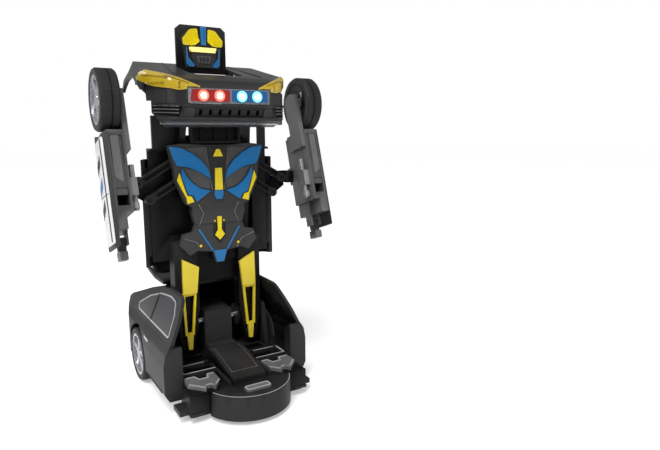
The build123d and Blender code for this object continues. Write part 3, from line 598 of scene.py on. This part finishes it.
# Painted highlight along the front edge of the middle ramp.
drape("ramp_cross", band([(-9, -44.4), (9, -44.4)], 0.6, False), "top", REST, DECK, "base", M["trim"],
      0.3)
BASE_PLATE = rounded([(-7.2, -61.1), (7.2, -61.1), (7.2, -65.9), (-7.2, -65.9)], 0.9)
# Painted highlight round the edge of the base badge.
drape("base_badge_rim", band(BASE_PLATE, 0.7), "top", REST, "badge_plate", "base", M["edge"],
      0.3)
NOSE_ARC = [(NOSE_R * math.sin(math.radians(t)), NOSE_CENTRE_Y - NOSE_R * math.cos(math.radians(t)))
            for t in range(-70, 71, 5)]
# Painted highlight along the round front edge of the base.
drape("nose_rim", band(NOSE_ARC, 0.45, False), "top", REST, "base_tray", "base", M["edge"],
      0.2)

# ---- plain badge on the back of the head plate, which is the middle of the car's hood ----
HEXAGON = circle(7.4, BADGE_Z, 6)
for part, shapes, mat, slot_name, lift in (
        ("field", HEXAGON, "blue", "lens_blue", 0.3),
        ("rim", band(HEXAGON, 0.9), "silver", "hub_silver", 0.5),
        ("disc", circle(3.4, BADGE_Z, 18), "white", "bar_white", 0.5),
        ("dot", circle(1.6, BADGE_Z, 15), "blue", "lens_blue", 0.7)):
    drape("badge_" + part, shapes, "back", REST, "head_plate", "head", M[mat], lift)

# ---- cabin and rear shell glazing -------------------------------------------------
FRONT_GLASS = rounded([(-96, 46.6), (-66, 60.8), (-50, 65.4), (-30.5, 66.4), (-33.5, 58.5),
                       (-37.6, 46.6)], 1.6)
REAR_GLASS = rounded([(-30, 46.6), (-26.5, 58), (-20, 65), (-10, 65.8), (8, 63.6), (26, 58), (42, 49.6),
                      (38, 46.6)], 1.6)
for label in ("left", "right"):
    drape(label + "_front_glass", FRONT_GLASS, label, RISER, "cabin_shell", "riser", M["glass"],
          0.25)
    drape(label + "_front_trim", band(FRONT_GLASS, 0.9), label, RISER, "cabin_shell", "riser",
          M["silver"], 0.5)
    drape(label + "_rear_glass", REAR_GLASS, label, REST, "rear_shell", "base", M["glass"],
          0.25)
    drape(label + "_rear_trim", band(REAR_GLASS, 0.9), label, REST, "rear_shell", "base", M["silver"],
          0.5)
    drape(label + "_rear_pillar", band([(10, 46.6), (11.5, 62.6)], 1.6, False), label, REST,
          "rear_shell", "base", M["shell"], 0.55)
    drape(label + "_door_handle", rounded([(-2, 37.2), (7, 37.8), (7, 36.4), (-2, 35.8)], 0.4), label,
          REST, "rear_shell", "base", M["silver"], 0.9)
    drape(label + "_sill_line", band([(-30, 13.4), (2, 13.4)], 0.8, False), label, REST, "rear_shell",
          "base", M["shell"], 0.5)
WINDSCREEN = rounded([(-36.5, -100.5), (36.5, -100.5), (27, -61), (-27, -61)], 3.0)
drape("windscreen", WINDSCREEN, "top", RISER, "cabin_shell", "riser", M["glass"], 0.25)
drape("windscreen_trim", band(WINDSCREEN, 0.8), "top", RISER, "cabin_shell", "riser", M["silver"],
      0.5)
REAR_SCREEN = rounded([(-22, 36), (22, 36), (28, 58), (-28, 58)], 3.0)
drape("rear_screen", REAR_SCREEN, "top", REST, "rear_shell", "base", M["glass"], 0.25)
drape("rear_screen_trim", band(REAR_SCREEN, 0.8), "top", REST, "rear_shell", "base", M["silver"],
      0.5)

# ---- tail, light bar and torso lines ------------------------------------------------
REAR_PLATE = rounded([(-13, 24), (13, 24), (13, 32), (-13, 32)], 1.0)
drape("tail_recess", REAR_PLATE, "back", REST, "rear_shell", "base", M["panel"], 0.2)
drape("tail_recess_rim", band(REAR_PLATE, 0.7), "back", REST, "rear_shell", "base", M["shell"],
      0.6)
drape("tail_bumper_line", band([(-38, 18.5), (38, 18.5)], 0.9, False), "back", REST, "rear_shell", "base",
      M["shell"], 0.6)
drape("tail_lip", band([(-34, 42.5), (34, 42.5)], 0.6, False), "back", REST, "rear_shell", "base",
      M["silver"], 0.35)
for colour, sign in (("red", -1), ("blue", 1)):
    for k in range(3):
        x = sign * (13 + 5 * k)
        for view, low, high in (("front", 75.2, 81.4), ("top", -44.6, -34.4)):
            drape("bar_%s_rib_%s_%d" % (colour, view, k), band([(x, low), (x, high)], 0.9, False), view,
                  RISER, "lightbar_lens_" + colour, "riser", M[colour + "_rib"], 0.25)
TORSO_LINES = (("column", [(7.4, 158.6), (5.4, 141.6), (4.0, 131.6)], "chest_plate"),
               ("waist", [(13.6, 123.0), (10.4, 117.0), (13.4, 109.4)], "chest_plate pelvis_plate"),
               ("hip", [(25.5, 102.5), (15.5, 98.6), (9.4, 89.8)], "pelvis_plate"))
for name, path, nodes in TORSO_LINES:
    for label, points in (("left", path), ("right", flip(path))):
        drape("%s_%s_line" % (label, name), band(points, 0.45, False), "front", REST, nodes, "riser",
              M["arm_light"], 0.3)

# ---- arms: cover plates and door graphics ----------------------------------------
for label, sign in LEFT_RIGHT:
    place = arm_place(sign)
    body = label + "_arm"
    cover = sided([(37.6, -103), (45.2, -103), (45.2, -66), (37.6, -66)], sign)
    plate(label + "_arm_cover", rounded(cover, 1.0), "under", -11.7, place, 0.6, body, M["arm"])
    panel = sided([(39.2, -100), (43.6, -100), (43.6, -76), (39.2, -73)], sign)
    plate(label + "_arm_panel", rounded(panel, 0.8), "under", -10.8, place, 0.6, body, M["arm_light"])
    door = label + "_door_panel"
    white = rounded([(-100.6, 38.2), (-39.6, 38.2), (-39.6, 12.6), (-100.2, 12.6)], 1.5)
    drape(label + "_door_white", white, label, place, door, body, M["white"], 0.3)
    drape(label + "_door_stripe", [(-99.5, 15.2), (-41, 15.2), (-41, 17.6), (-99.5, 17.6)], label, place,
          door, body, M["frame"], 0.45)
    drape(label + "_door_seam", band([(-68.5, 37.6), (-67.5, 13.2)], 0.5, False), label, place, door, body,
          M["panel"], 0.4)
    for k in range(3):
        y = -92 + 13 * k
        bar = [(y, 22.5), (y + 5.5, 22.5), (y + 10.5, 31.5), (y + 5, 31.5)]
        drape("%s_door_bar_%d" % (label, k), bar, label, place, door, body,
              M["blue" if k == 1 else "frame"], 0.45)

# ---- camera, light, floor --------------------------------------------------
CAMERA_PLACE = (-0.1334, -0.3547, 0.1708)      # metres
CAMERA_YAW, CAMERA_PITCH = 0.564, 0.17          # radians to the right of straight back, and downwards
FOCAL_LENGTH, SENSOR_WIDTH = 30.98, 36.0
cam_data = bpy.data.cameras.new("camera")
cam_data.lens = FOCAL_LENGTH
cam_data.sensor_width = SENSOR_WIDTH
cam = bpy.data.objects.new("camera", cam_data)
bpy.context.collection.objects.link(cam)
cam.location = CAMERA_PLACE
aim = Vector((math.sin(CAMERA_YAW) * math.cos(CAMERA_PITCH), math.cos(CAMERA_YAW) * math.cos(CAMERA_PITCH),
              -math.sin(CAMERA_PITCH)))
cam.rotation_euler = aim.to_track_quat("-Z", "Y").to_euler()
bpy.context.scene.camera = cam


def area_light(name, place, target_z, size, power):
    """A soft lamp aimed at a height on the middle of the object."""
    data = bpy.data.lights.new(name, "AREA")
    data.size = size
    data.energy = power
    lamp = bpy.data.objects.new(name, data)
    bpy.context.collection.objects.link(lamp)
    lamp.location = place
    lamp.rotation_euler = (Vector((0, 0, target_z)) - Vector(place)).to_track_quat("-Z", "Y").to_euler()


area_light("key_light", (-0.62, -0.62, 0.78), 0.12, 0.35, 3.0)
area_light("fill_light", (0.80, -0.60, 0.40), 0.12, 0.60, 1.2)
area_light("rim_light", (-0.75, 0.55, 0.45), 0.14, 0.5, 2.5)
SUN_AIM = (0.35, 0.45, -1.0)    # direction that the sunlight travels
sun_data = bpy.data.lights.new("sun_light", "SUN")
sun_data.energy = 1.5
sun_data.angle = 0.35
sun = bpy.data.objects.new("sun_light", sun_data)
bpy.context.collection.objects.link(sun)
sun.rotation_euler = Vector(SUN_AIM).to_track_quat("-Z", "Y").to_euler()
BACKDROP_LIGHT, FLOOR_GLOW = 0.30, 0.36
world = bpy.data.worlds.new("studio")
world.use_nodes = True
world_tree = world.node_tree
backdrop = world_tree.nodes["Background"]
backdrop.inputs[0].default_value = (1, 1, 1, 1)
# The backdrop is white to the camera and dimmer as a source of light.
path = world_tree.nodes.new("ShaderNodeLightPath")
level = world_tree.nodes.new("ShaderNodeMapRange")
level.inputs["To Min"].default_value = BACKDROP_LIGHT
level.inputs["To Max"].default_value = 1.0
world_tree.links.new(path.outputs["Is Camera Ray"], level.inputs["Value"])
world_tree.links.new(level.outputs[0], backdrop.inputs[1])
bpy.context.scene.world = world
bpy.context.scene.view_settings.view_transform = "Standard"

FLOOR = 4.0                     # half the floor's side, metres
floor_mesh = bpy.data.meshes.new("floor")
floor_mesh.from_pydata([(-FLOOR, -FLOOR, 0), (FLOOR, -FLOOR, 0), (FLOOR, FLOOR, 0), (-FLOOR, FLOOR, 0)],
                       [], [(0, 1, 2, 3)])
floor = bpy.data.objects.new("floor", floor_mesh)
bpy.context.collection.objects.link(floor)
floor_mat = plastic("floor_white", (0.93, 0.93, 0.935), 0.7, 0.0, 0.0, 0.0, 0.01)
floor_shader = floor_mat.node_tree.nodes["Principled BSDF"]
floor_shader.inputs["Emission Color"].default_value = (1, 1, 1, 1)
floor_tree = floor_mat.node_tree
# The floor glows a little to the camera only, so that it reads as white.
seen = floor_tree.nodes.new("ShaderNodeLightPath")
share = floor_tree.nodes.new("ShaderNodeMapRange")
share.inputs["To Max"].default_value = FLOOR_GLOW
floor_tree.links.new(seen.outputs["Is Camera Ray"], share.inputs["Value"])
floor_tree.links.new(share.outputs[0], floor_shader.inputs["Emission Strength"])
floor_mesh.materials.append(floor_mat)
